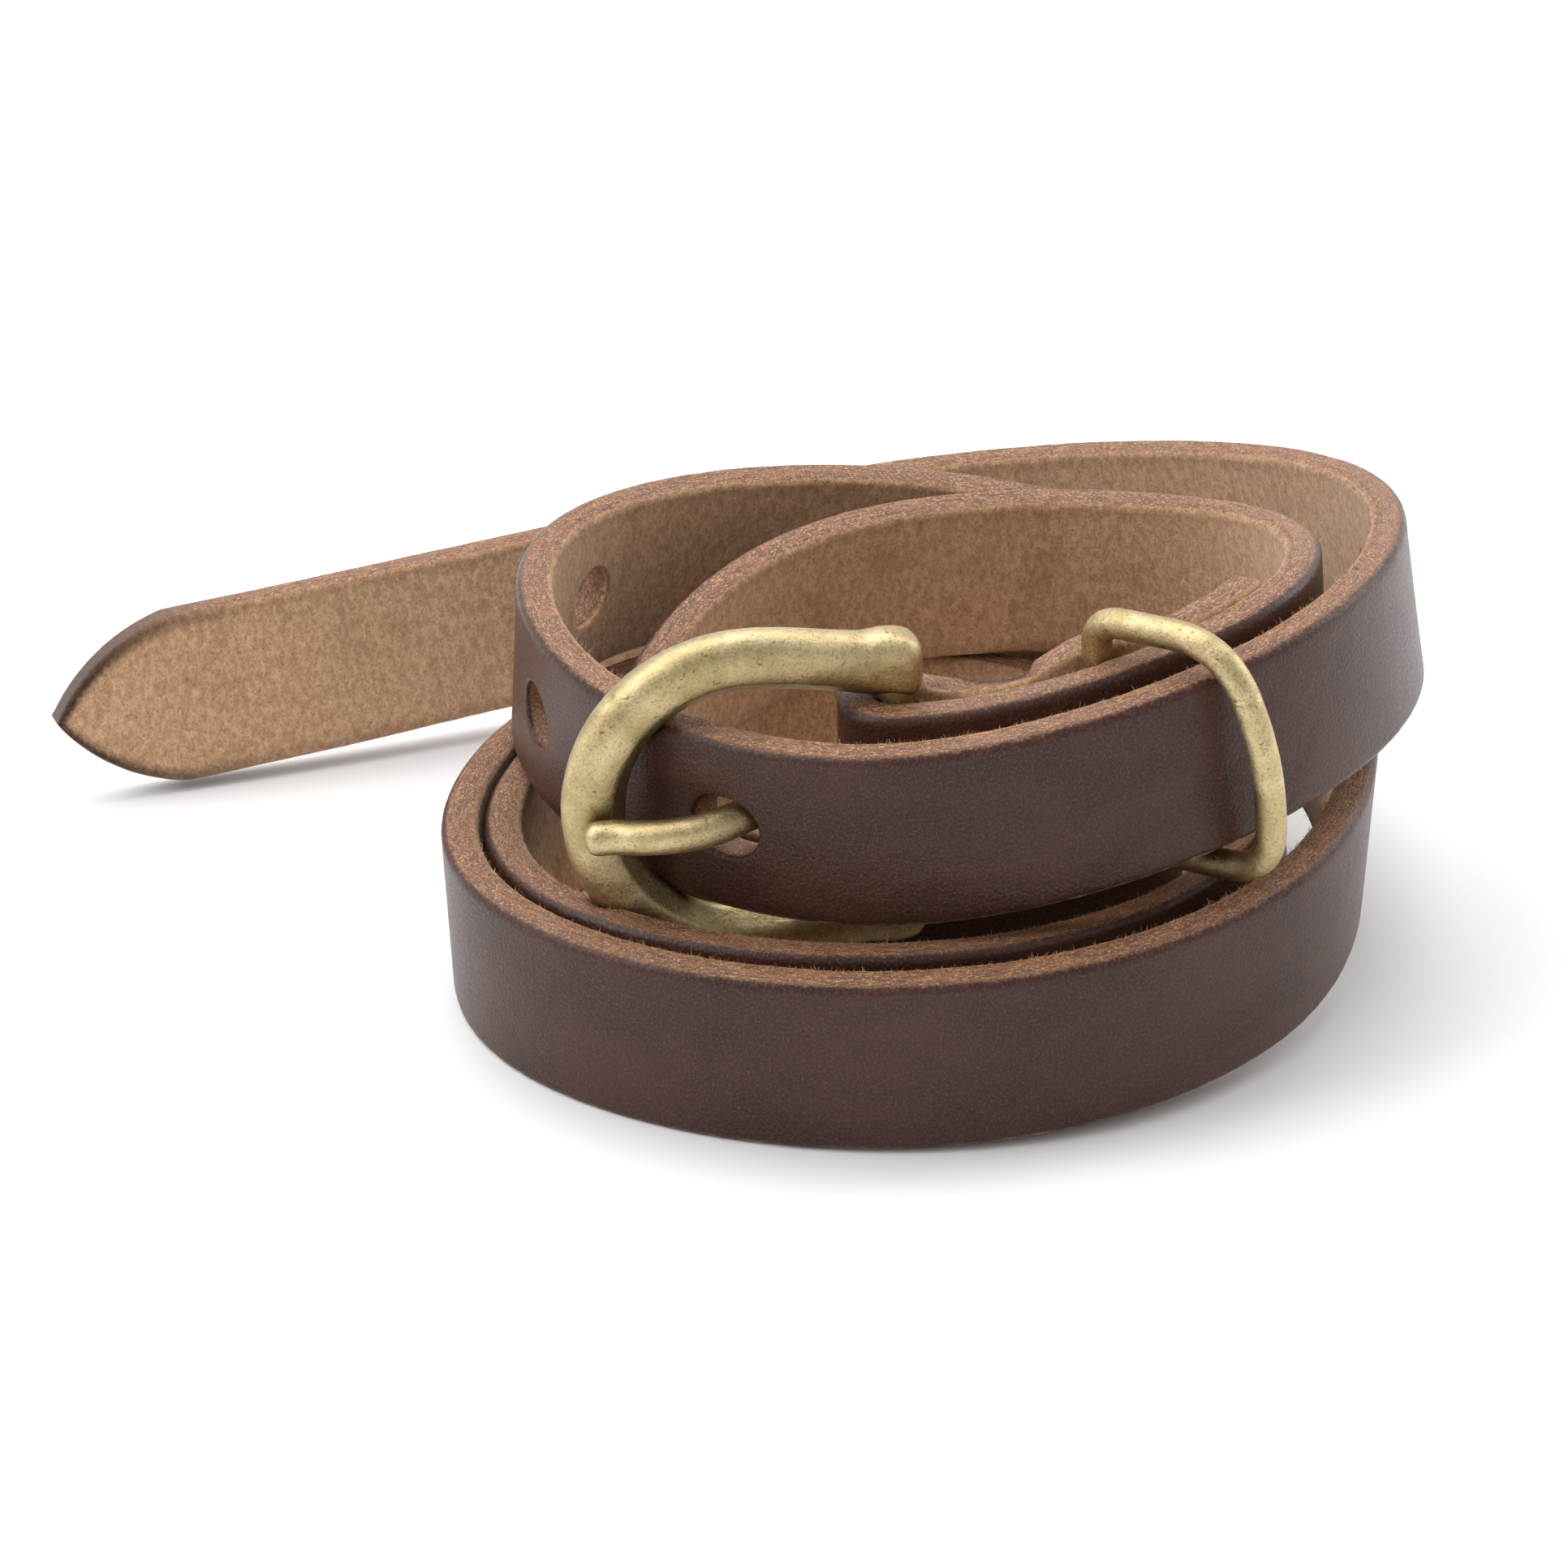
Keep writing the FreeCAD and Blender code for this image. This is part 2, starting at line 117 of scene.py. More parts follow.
BAR_RADIUS = 1.85
BAR_CLEARANCE = 0.05
FOLD_RADIUS = BAR_RADIUS + BAR_CLEARANCE + HALF_THICK
BUCKLE_SWING = 9.5
BUCKLE_SAG = 0.5
BOW_CENTRE = 15.1
BOW_RADIUS = 15.2
HEEL_HALF_HEIGHT = 13.2
HEEL_END = -2.7
FRAME_WIDTH = 6.4
FRAME_DEPTH = 5.1

TONGUE_PATH = [
    (2.2, 0.1, 0.6),
    (8.0, 1.3, 0.6),
    (13.2, 3.0, 0.6),
    (18.9, 6.3, 0.5),
    (22.5, 7.1, 0.4),
    (26.0, 6.2, 0.0),
    (28.4, 4.95, -0.3),
    (31.6, 4.35, -0.5),
]
TONGUE_RADIUS = 1.7
TONGUE_EYE_RADIUS = 3.3
TONGUE_WIDTH = 3.6

KEEPER_WIRE_RADIUS = 1.55
KEEPER_AT = 22.7
KEEPER_DEPTH = 18.6
KEEPER_TOP = 13.5
KEEPER_BOTTOM = -11.9
KEEPER_SHOULDER = 16.2
KEEPER_BELLY = 0.9
KEEPER_BELLY_AT = 2.0
KEEPER_CUTS = (4.0, 4.0, 6.0, 6.5, 6.0)
KEEPER_HEADING = -39.0
KEEPER_ROLL = 5.0
KEEPER_SLACK = 0.5

# ---------------------------------------------------------------- small helpers


def unit(vectors):
    """Vectors (along the last axis) scaled to length one."""
    return vectors / np.linalg.norm(vectors, axis=-1, keepdims=True)


def ease(x):
    """Smooth step from 0 to 1."""
    x = np.clip(x, 0.0, 1.0)
    return x * x * (3 - 2 * x)


def wander(values, pitch, seed):
    """Smooth random numbers from -1 to 1 along a line, one bump per pitch."""
    return np.array([noise.noise(Vector((v / pitch, seed, 0.5))) for v in values])


def make_piece(name, points, faces, material, body, replaced=()):
    """A smooth-shaded mesh from points in millimetres, riding on a CAD body."""
    mesh = bpy.data.meshes.new(name)
    mesh.from_pydata((np.asarray(points) * MM).tolist(), [], faces)
    mesh.materials.append(material)
    mesh.shade_smooth()
    piece = bpy.data.objects.new(name, mesh)
    bpy.context.scene.collection.objects.link(piece)
    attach(piece, body)
    if replaced:
        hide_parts(*replaced)
    return piece


def tube(rings, closed):
    """Points and faces of a tube through rings of points, its ends capped unless it is a closed loop."""
    count, around = rings.shape[:2]
    points = rings.reshape(-1, 3)
    faces = []
    for i in range(count if closed else count - 1):
        here = i * around
        there = (i + 1) % count * around
        for j in range(around):
            k = (j + 1) % around
            faces.append((here + j, here + k, there + k, there + j))
    if not closed:
        faces.append(tuple(range(around - 1, -1, -1)))
        faces.append(tuple(range((count - 1) * around, count * around)))
    return points, faces


# ---------------------------------------------------------------- the strap's path


def main_run():
    """Stations from the heel bar to the tip: distance, centre, along, out and across."""
    rows = []
    for index, (radius, height, lean) in enumerate(COIL):
        angle = math.radians(COIL_START + COIL_STEP * index)
        rows.append((radius * math.cos(angle), radius * math.sin(angle), height, lean))
    rows += TAIL
    rows.append([2 * a - b for a, b in zip(rows[-1], rows[-2])])
    rows = np.array(rows)
    spans = len(rows) - 3
    t = np.arange(spans * STEPS_PER_SPAN + 1) / STEPS_PER_SPAN
    span = np.minimum(t.astype(int), spans - 1)
    f = (t - span)[:, None]
    value = [(1 - f) ** 3, 3 * f**3 - 6 * f**2 + 4, -3 * f**3 + 3 * f**2 + 3 * f + 1, f**3]
    slope = [-((1 - f) ** 2), 3 * f**2 - 4 * f, -3 * f**2 + 2 * f + 1, f**2]
    place = sum(weight / 6 * rows[span + k] for k, weight in enumerate(value))
    along = unit(sum(rate / 2 * rows[span + k, :3] for k, rate in enumerate(slope)))
    upright = unit(UP - along * along[:, 2:])
    level = np.cross(along, upright)
    tilt = np.radians(place[:, 3:])
    across = upright * np.cos(tilt) + level * np.sin(tilt)
    out = level * np.cos(tilt) - upright * np.sin(tilt)
    centre = place[:, :3] + UP * (HALF_WIDTH - EDGE_SETTLE) + COIL_PLACE
    steps = np.linalg.norm(np.diff(centre, axis=0), axis=1)
    return np.concatenate([[0.0], np.cumsum(steps)]), centre, along, out, across


def station_at(run, distance):
    """Centre, along, out and across at distances along the main run."""
    found = []
    for values in run[1:]:
        found.append(np.stack([np.interp(distance, run[0], values[:, k]) for k in range(3)], -1))
    return found[0], unit(found[1]), unit(found[2]), unit(found[3])


def turnback_offset(distance):
    """How far the turnback's centre line lies inside the main layer's."""
    touching = STRAP_THICKNESS + LAYER_GAP
    near_fold = (2 * FOLD_RADIUS - touching) * (1 - ease(distance / FOLD_CLOSE))
    bulge = 2 * KEEPER_WIRE_RADIUS + KEEPER_SLACK - LAYER_GAP
    near_keeper = bulge * (1 - ease(np.abs(distance - KEEPER_AT) / KEEPER_RAMP))
    return touching + near_fold + near_keeper


def strap_line(run):
    """The whole strap from the turnback's end to the tip: flat distance, centre, out and across."""
    back = np.arange(TURNBACK_LENGTH, TURNBACK_PITCH * 0.8, -TURNBACK_PITCH)
    centre, _, out, across = station_at(run, back)
    turnback = [centre - out * turnback_offset(back)[:, None], -out, across]
    centre, along, out, across = [values[0] for values in run[1:]]
    angle = np.pi * (1 - np.arange(FOLD_STEPS)[:, None] / FOLD_STEPS)
    spoke = out * np.cos(angle) - along * np.sin(angle)
    fold = [centre + (spoke - out) * FOLD_RADIUS, spoke, np.tile(across, (FOLD_STEPS, 1))]
    line = [np.concatenate(parts) for parts in zip(turnback, fold, (run[1], run[3], run[4]))]
    steps = np.linalg.norm(np.diff(line[0], axis=0), axis=1)
    flat = np.concatenate([[0.0], np.cumsum(steps)])
    return flat - flat[len(back) + FOLD_STEPS], *line


def bend(line, flat):
    """Points given as (distance, across, through) on the flat strap, laid along the coiled strap."""
    placed = []
    for values in line[1:]:
        placed.append(np.stack([np.interp(flat[:, 0], line[0], values[:, k]) for k in range(3)], -1))
    centre, out, across = placed[0], unit(placed[1]), unit(placed[2])
    return centre + across * flat[:, 1:2] + out * flat[:, 2:3]


def buckle_axes(run):
    """The heel bar's middle, and the buckle's directions towards the bow, outward and up."""
    centre, along, out, across = [values[0] for values in run[1:]]
    bar = centre - out * FOLD_RADIUS - across * BUCKLE_SAG
    swing = math.radians(BUCKLE_SWING)
    to_bow = out * math.sin(swing) - along * math.cos(swing)
    return bar, to_bow, out * math.cos(swing) + along * math.sin(swing), across


# ---------------------------------------------------------------- strap mesh

COLUMN_PITCH = 0.6
TIP_COLUMNS = 60
TIP_CROWDING = 1.4
END_COLUMNS = 5
FACE_ROWS = 19
CORNER_STEPS = 5
MID_EDGE = -0.1
GRAIN_CORNER = 1.0
FLESH_CORNER = 0.75
EDGE_CROWN = 0.08
EDGE_WANDER = 0.07
EDGE_WAVES = (7.0, 1.6)
GRAIN_UNEVEN = 0.03
FLESH_UNEVEN = 0.09
FLESH_BELOW = -0.9
TIP_BLUNT = 0.12
END_ROUND = 0.7
PATCH_REACH = 5.2
RIM_RADIUS = 0.4
RIM_STEPS = 5
WALL_STEPS = 7
PATCH_RINGS = (0.25, 0.5, 0.72, 0.88)
# The hole in use is stretched, narrower, and slants with a share of the tongue's own slant
USED_HOLE_STRETCH = 0.35
USED_HOLE_NARROWER = 0.1
USED_HOLE_SLANT = 0.6
BOW_CLEARANCE = 0.12


def cross_section():
    """Ring round the strap as (side share, corner radius, lip past the corner's centre, through)."""
    ring = []
    shares = np.linspace(-1, 1, FACE_ROWS)
    for share in shares:
        ring.append((share, GRAIN_CORNER, 0.0, HALF_THICK))
    quarter = np.linspace(0, math.pi / 2, CORNER_STEPS + 1)[1:]
    edge = [(GRAIN_CORNER, math.sin(a), HALF_THICK - GRAIN_CORNER * (1 - math.cos(a))) for a in quarter]
    edge.append((FLESH_CORNER, 1.0, MID_EDGE))
    for a in quarter[::-1]:
        edge.append((FLESH_CORNER, math.sin(a), FLESH_CORNER * (1 - math.cos(a)) - HALF_THICK))
    for radius, reach, through in edge:
        ring.append((1.0, radius, radius * reach + EDGE_CROWN * reach**4, through))
    for share in shares[::-1]:
        ring.append((share, FLESH_CORNER, 0.0, -HALF_THICK))
    for radius, reach, through in edge[::-1]:
        ring.append((-1.0, radius, -radius * reach - EDGE_CROWN * reach**4, through))
    return np.array(ring)


def half_width(distance, length):
    """Half the strap's width, falling to the tip in two arcs."""
    chord = math.hypot(TIP_LENGTH, HALF_WIDTH)
    arch = chord**2 / (8 * TIP_BULGE) + TIP_BULGE / 2
    back = TIP_LENGTH / 2 - (arch - TIP_BULGE) * HALF_WIDTH / chord
    below = HALF_WIDTH / 2 - (arch - TIP_BULGE) * TIP_LENGTH / chord
    into_tip = np.clip(distance - (length - TIP_LENGTH), 0, TIP_LENGTH)
    return np.minimum(np.sqrt(arch**2 - (into_tip - back) ** 2) + below, HALF_WIDTH)


def flat_strap(line):
    """Grid of the strap without its holes: column distances and points (column, ring, 3)."""
    start, length = line[0][0], line[0][-1]
    to_point = np.linspace(TIP_LENGTH, 0, TIP_COLUMNS)[1:]
    tip_columns = length - TIP_BLUNT - to_point**TIP_CROWDING / TIP_LENGTH ** (TIP_CROWDING - 1)
    columns = np.arange(start + END_ROUND, tip_columns[0] - COLUMN_PITCH / 2, COLUMN_PITCH)
    turn = np.linspace(0.25, math.pi / 2, END_COLUMNS + 1)[:-1]
    columns = np.concatenate([start + END_ROUND * (1 - np.cos(turn)), columns, tip_columns])
    side, radius, lip, through = cross_section().T
    width = half_width(columns, length)
    shrink = np.ones(len(columns))
    shrink[: len(turn)] = 1 - END_ROUND * (1 - np.sin(turn)) / HALF_THICK
    width = width * (1 - (1 - shrink) * HALF_THICK / HALF_WIDTH)
    corner = np.minimum(radius, width[:, None])
    across = side * (width[:, None] - corner) + lip * corner / radius
    straight = ease((length - TIP_LENGTH - columns) / TIP_LENGTH)
    long_wave, short_wave = EDGE_WAVES
    for sign, seed in ((1, 3.0), (-1, 8.0)):
        drift = wander(columns, long_wave, seed) + 0.5 * wander(columns, short_wave, seed + 1)
        at_edge = np.where(side == sign, 1.0, 0.0)
        across = across + np.outer(drift * straight * sign * EDGE_WANDER, at_edge)
    ring = range(len(side))
    ragged = np.array([noise.noise(Vector((c * 0.9, k * 0.8, 2.0))) for c in columns for k in ring])
    uneven = np.where(through < FLESH_BELOW, FLESH_UNEVEN, GRAIN_UNEVEN)
    ragged = ragged.reshape(len(columns), -1) * uneven
    depth = through * shrink[:, None] + ragged * np.sign(through)
    far = np.repeat(columns[:, None], len(side), 1)
    return columns, np.stack([far, across, depth], -1)


def hole_loop(columns, rows, centre, half_length):
    """Grid places (column, row) round the patch that holds a hole."""
    first = np.searchsorted(columns, centre - half_length - PATCH_REACH)
    last = np.searchsorted(columns, centre + half_length + PATCH_REACH)
    low = int(np.argmax(rows >= -PATCH_REACH))
    high = len(rows) - 1 - low
    loop = [(i, low) for i in range(first, last)]
    loop += [(last, j) for j in range(low, high)]
    loop += [(i, high) for i in range(last, first, -1)]
    loop += [(first, j) for j in range(high, low, -1)]
    return loop, (first, last, low, high)


def hole_profile():
    """Steps from the grain face down the hole's wall to the flesh face: (outward of the wall, through)."""
    arc = np.linspace(0, math.pi / 2, RIM_STEPS)
    top = [(RIM_RADIUS * (1 - math.sin(a)), HALF_THICK - RIM_RADIUS * (1 - math.cos(a))) for a in arc]
    straight = HALF_THICK - RIM_RADIUS
    wall = [(0.0, z) for z in np.linspace(straight, -straight, WALL_STEPS)[1:-1]]
    bottom = [(outward, -through) for outward, through in top[::-1]]
    return top + wall + bottom


def punch(points, faces, grid, columns, hole):
    """Replace a patch of both faces by rings closing on a hole, joined through the strap by its wall."""
    centre, half_length, radius, slant = hole
    around = grid.shape[1]
    rows = grid[len(grid) // 2, :FACE_ROWS, 1]
    loop, box = hole_loop(columns, rows, centre, half_length)
    flesh_first = FACE_ROWS + 2 * CORNER_STEPS + 1
    grain = [i * around + j for i, j in loop]
    flesh = [i * around + flesh_first + FACE_ROWS - 1 - j for i, j in loop]
    outer = np.array([grid[i, j, :2] for i, j in loop])
    spine = np.clip(outer[:, 0] - centre, -half_length, half_length)
    root = np.stack([centre + spine, np.zeros(len(spine))], -1)
    spokes = unit(outer - root)
    rings = [grain]

    def add_ring(flat, through):
        start = len(points)
        shift = slant * through
        points.extend((x + shift, y, through) for x, y in flat)
        rings.append(list(range(start, start + len(flat))))

    edge = root + spokes * (radius + RIM_RADIUS)
    for share in PATCH_RINGS:
        add_ring(outer + (edge - outer) * share - [slant * HALF_THICK * (1 - share), 0], HALF_THICK)
    for outward, through in hole_profile():
        add_ring(root + spokes * (radius + outward), through)
    for share in PATCH_RINGS[::-1]:
        add_ring(outer + (edge - outer) * share + [slant * HALF_THICK * (1 - share), 0], -HALF_THICK)
    rings.append(flesh)
    for upper, lower in zip(rings, rings[1:]):
        for k in range(len(loop)):
            n = (k + 1) % len(loop)
            faces.append((upper[k], upper[n], lower[n], lower[k]))
    return box


def strap_holes(run, axes):
    """Holes as (distance, half length of the spine, radius, slant): belt holes, then the tongue's slot."""
    bar, to_bow, out, up = axes
    low, high = [bar + to_bow * b + out * o + up * h for b, o, h in TONGUE_PATH[2:4]]
    _, along, normal, _ = station_at(run, np.array([BAR_TO_LAST_HOLE]))
    rise = unit(high - low)
    slant = float(rise @ along[0]) / float(rise @ normal[0])
    narrower = HOLE_RADIUS - USED_HOLE_NARROWER
    holes = [(BAR_TO_LAST_HOLE, USED_HOLE_STRETCH, narrower, slant * USED_HOLE_SLANT)]
    for index in range(1, HOLE_COUNT):
        distance = BAR_TO_LAST_HOLE - HOLE_PITCH * index
        holes.append((distance, 0.0, HOLE_RADIUS, 0.0))
    fold_middle = -np.pi * FOLD_RADIUS / 2
    holes.append((fold_middle, -fold_middle + SLOT_REACH, SLOT_WIDTH / 2, 0.0))
    return holes


def press_aside(points, axes):
    """Leather that the bow bears on gives way to it."""
    spots, outward, _ = frame_line(axes)
    front = axes[2]
    near = np.where(np.linalg.norm(points - spots.mean(0), axis=1) < 2 * BOW_RADIUS)[0]
    gap = points[near][:, None] - spots[None]
    nearest = np.argmin((gap**2).sum(-1), axis=1)
    gap = gap[np.arange(len(near)), nearest]
    side = (gap * outward[nearest]).sum(-1)
    rise = gap @ front
    half_wide = FRAME_WIDTH / 2 + BOW_CLEARANCE
    half_deep = FRAME_DEPTH / 2 + BOW_CLEARANCE
    size = np.sqrt((side / half_wide) ** 2 + (rise / half_deep) ** 2)
    push = np.where(size < 1, 1 / np.maximum(size, 0.3) - 1, 0.0)
    points[near] += (outward[nearest] * side[:, None] + front * rise[:, None]) * push[:, None]


def make_strap(run, line, axes, material):
    """The strap with its holes, and the attributes that place the leather's pattern on it."""
    columns, grid = flat_strap(line)
    around = grid.shape[1]
    points = [tuple(p) for p in grid.reshape(-1, 3)]
    faces = []
    boxes = [punch(points, faces, grid, columns, hole) for hole in strap_holes(run, axes)]
    flesh_first = FACE_ROWS + 2 * CORNER_STEPS + 1
    removed = np.zeros((len(columns), around), bool)
    for first, last, low, high in boxes:
        removed[first:last, low:high] = True
        mirrored = flesh_first + FACE_ROWS - 1
        removed[first:last, mirrored - high : mirrored - low] = True
    for i in range(len(columns) - 1):
        for j in range(around):
            if not removed[i, j]:
                k = (j + 1) % around
                here, there = i * around, (i + 1) * around
                faces.append((here + j, there + j, there + k, here + k))
    faces.append(tuple(range(around)))
    faces.append(tuple(range(len(columns) * around - 1, (len(columns) - 1) * around - 1, -1)))
    flat = np.array(points)
    placed = bend(line, flat)
    press_aside(placed, axes)
    placed[:, 2] = np.maximum(placed[:, 2], 0.0)
    strap = make_piece("strap_leather", placed, faces, material, "belt", ["strap"])
    inset = half_width(flat[:, 0], line[0][-1]) - np.abs(flat[:, 1])
    strap.data.attributes.new("flat", "FLOAT_VECTOR", "POINT").data.foreach_set("vector", flat.ravel())
    strap.data.attributes.new("inset", "FLOAT", "POINT").data.foreach_set("value", inset)


FIBRE_SEED = 7
FIBRE_COUNT = 24000
FIBRE_SIDES = 3
FIBRE_HEIGHT = (0.2, 0.95)
FIBRE_RADIUS = (0.018, 0.04)
FIBRE_WAIST = 0.6
CLUMP_PITCH = 5.0
ON_TOP_SHARE = 0.8


def make_fibres(line, material):
    """Loose fibres standing along the raw corners of the flesh side."""
    random = np.random.default_rng(FIBRE_SEED)
    count = FIBRE_COUNT
    length = line[0][-1]
    distance = random.uniform(line[0][0] + 2, length - TIP_LENGTH - 4, count)
    clump = wander(distance, CLUMP_PITCH, 4.0)
    kept = random.uniform(-0.9, 0.9, count) < clump + 0.15
    distance = distance[kept]
    count = len(distance)
    top = np.where(random.uniform(0, 1, count) < ON_TOP_SHARE, 1.0, -1.0)
    depth = random.uniform(-HALF_THICK, -0.4, count)
    inset = np.where(depth < FLESH_CORNER - HALF_THICK, 0.25, 0.02)
    root = np.stack([distance, top * (HALF_WIDTH - inset), depth], -1)
    tall = random.uniform(*FIBRE_HEIGHT, count) * random.uniform(0.35, 1.0, count)
    lean = random.normal(0, 0.5, (count, 3))
    sideways = top * (0.9 + 0.3 * lean[:, 1])
    toward = unit(np.stack([lean[:, 0] * 1.6, sideways, -0.35 + lean[:, 2] * 0.6], -1))
    thick = random.uniform(*FIBRE_RADIUS, count)
    points = []
    faces = []
    for k in range(FIBRE_SIDES):
        angle = 2 * math.pi * k / FIBRE_SIDES
        ring = np.stack([np.cos(angle) * thick, 0 * thick, np.sin(angle) * thick], -1)
        points.append(root + ring)
        points.append(root + toward * (tall * FIBRE_WAIST)[:, None] + ring * 0.7)
    curl = random.normal(0, 0.1, (count, 3))
    points.append(root + toward * tall[:, None] + curl * tall[:, None])
    points = np.concatenate(points)
    for n in range(count):
        tip = n + 2 * FIBRE_SIDES * count
        for k in range(FIBRE_SIDES):
            low = n + 2 * k * count
            high = low + count
            next_low = n + 2 * ((k + 1) % FIBRE_SIDES) * count
            next_high = next_low + count
            faces.append((low, next_low, next_high, high))
            faces.append((high, next_high, tip))
    placed = bend(line, points)
    placed[:, 2] = np.maximum(placed[:, 2], 0.0)
    make_piece("strap_fibres", placed, faces, material, "belt")


# ---------------------------------------------------------------- buckle mesh

SECTION_POINTS = 48
SECTION_BULK = 2.2
HEEL_BULK = 0.9
HEEL_BLEND = 9.0
HEEL_RINGS = 8
RAIL_RINGS = 34
BOW_RINGS = 71
FRONT_BEVEL = 0.13
DIMPLE_DEPTH = 0.05
DIMPLE_PITCH = 2.2
HEEL_ROUND = 1.7
KNOB_HEIGHT = 0.5
KNOB_AT = 0.4
KNOB_SPAN = 3.4


def frame_line(axes):
    """Centre line of the horseshoe: places, outward directions in its plane and bow distances."""
    bar, to_bow, _, up = axes
    rail_length = BOW_CENTRE - HEEL_END
    heel_part = HEEL_ROUND * (1 - np.cos(np.linspace(0.12, math.pi / 2, HEEL_RINGS + 1)[:-1]))
    rail = np.concatenate([heel_part, np.linspace(HEEL_ROUND, rail_length, RAIL_RINGS)]) + HEEL_END
    height = HEEL_HALF_HEIGHT + (BOW_RADIUS - HEEL_HALF_HEIGHT) * ease((rail - HEEL_END) / rail_length)
    turn = np.linspace(math.pi / 2, -math.pi / 2, BOW_RINGS + 2)[1:-1]
    bow = np.concatenate([rail, BOW_CENTRE + BOW_RADIUS * np.cos(turn), rail[::-1]])
    high = np.concatenate([height, BOW_RADIUS * np.sin(turn), -height[::-1]])
    spots = bar + np.outer(bow, to_bow) + np.outer(high, up)
    round_part = np.clip((bow - BOW_CENTRE) / BOW_RADIUS, 0, 1)
    rise = np.sign(high) * np.sqrt(np.maximum(0, 1 - round_part**2))
    outward = unit(np.outer(round_part, to_bow) + np.outer(rise, up))
    return spots, outward, bow


def section_ring(half_wide, half_deep, square, bevel):
    """Soft squared oval, its inner front shoulder planed off by a share of its reach."""
    angle = np.linspace(0, 2 * math.pi, SECTION_POINTS, endpoint=False)
    wide = half_wide * np.sign(np.cos(angle)) * np.abs(np.cos(angle)) ** (2 / square)
    deep = half_deep * np.sign(np.sin(angle)) * np.abs(np.sin(angle)) ** (2 / square)
    inward, forward = -0.8, 0.6
    reach = wide * inward + deep * forward
    spare = np.maximum(0, reach - reach.max() * (1 - bevel))
    return wide - spare * inward, deep - spare * forward


def make_buckle(axes, material):
    """Cast horseshoe frame, swelling to a knob at each heel."""
    spots, outward, bow = frame_line(axes)
    front = axes[2]
    rings = []
    for spot, side, reach in zip(spots, outward, bow):
        heel = 1 - ease((reach - HEEL_END) / HEEL_BLEND)
        into_end = max(0.0, 1 - (reach - HEEL_END) / HEEL_ROUND)
        shrink = HEEL_ROUND * (1 - math.sqrt(max(0.0, 1 - into_end**2)))
        knob = KNOB_HEIGHT * (1 - ease(abs(reach - KNOB_AT) / KNOB_SPAN))
        half_wide = FRAME_WIDTH / 2 + knob / 2 - shrink
        half_deep = FRAME_DEPTH / 2 + 0.1 * heel - shrink
        square = SECTION_BULK + HEEL_BULK * heel
        wide, deep = section_ring(half_wide, half_deep, square, FRONT_BEVEL * (1 - 0.6 * heel))
        middle = spot + side * (knob / 2)
        rings.append(middle + np.outer(wide, side) + np.outer(deep, front))
    points, faces = tube(np.array(rings), False)
    dimple = np.array([noise.noise(Vector(p / DIMPLE_PITCH)) for p in points]) * DIMPLE_DEPTH
    points = points + unit(points - spots.repeat(SECTION_POINTS, 0)) * dimple[:, None]
    make_piece("buckle_casting", points, faces, material, "buckle", ["buckle_frame"])


TIP_ROUND_LENGTH = 1.5
TIP_ROUND_POWER = 3.2
EYE_GAP = 0.06
EYE_SOFTNESS = 0.6


def smooth_curve(knots, steps):
    """Catmull-Rom curve through knots: points and unit tangents."""
    knots = np.array(knots, float)
    knots = np.concatenate([[2 * knots[0] - knots[1]], knots, [2 * knots[-1] - knots[-2]]])
    points = []
    for a, b, c, d in zip(knots, knots[1:], knots[2:], knots[3:]):
        for f in np.arange(steps) / steps:
            bend_in = (2 * a - 5 * b + 4 * c - d) * f**2
            points.append((2 * b + (c - a) * f + bend_in + (3 * b - a - 3 * c + d) * f**3) / 2)
    points.append(knots[-2])
    points = np.array(points)
    return points, unit(np.gradient(points, axis=0))


def make_tongue(axes, material):
    """Cast tongue: a shaft with a blunt tip, and an eye that wraps the heel bar."""
    bar, to_bow, out, up = axes
    local, tangent = smooth_curve(TONGUE_PATH, 10)
    left = np.linalg.norm(local - local[-1], axis=1)
    into_tip = np.clip(1 - left / TIP_ROUND_LENGTH, 0, 0.97)
    girth = TONGUE_RADIUS * (1 - into_tip**TIP_ROUND_POWER) ** (1 / TIP_ROUND_POWER)
    rings = []
    for place, forward, radius in zip(local, tangent, girth):
        top = unit(np.cross(UP, forward))
        wide, deep = section_ring(radius, radius * 0.97, 2.25, 0.0)
        rings.append(place + np.outer(wide, unit(np.cross(forward, top))) + np.outer(deep, top))
    points, faces = tube(np.array(rings), False)
    eye = []
    corner = np.linspace(0, 2 * math.pi, 20, endpoint=False)
    hub = BAR_RADIUS + EYE_GAP
    wall = TONGUE_EYE_RADIUS - BAR_RADIUS - EYE_GAP
    far = np.sign(np.cos(corner)) * np.abs(np.cos(corner)) ** EYE_SOFTNESS
    high = np.sign(np.sin(corner)) * np.abs(np.sin(corner)) ** EYE_SOFTNESS
    reach = hub + wall / 2 + wall / 2 * far
    rise = TONGUE_WIDTH / 2 * high + TONGUE_PATH[0][2]
    for angle in np.linspace(0, 2 * math.pi, 40, endpoint=False):
        eye.append(np.stack([reach * math.cos(angle), reach * math.sin(angle), rise], -1))
    eye_points, eye_faces = tube(np.array(eye), True)
    faces += [tuple(v + len(points) for v in face) for face in eye_faces]
    points = np.concatenate([points, eye_points])
    placed = bar + points[:, :1] * to_bow + points[:, 1:2] * out + points[:, 2:] * up
    make_piece("tongue_casting", placed, faces, material, "tongue", ["buckle_tongue"])


# ---------------------------------------------------------------- keeper mesh

WIRE_POINTS = 28
WIRE_UNEVEN = 0.025


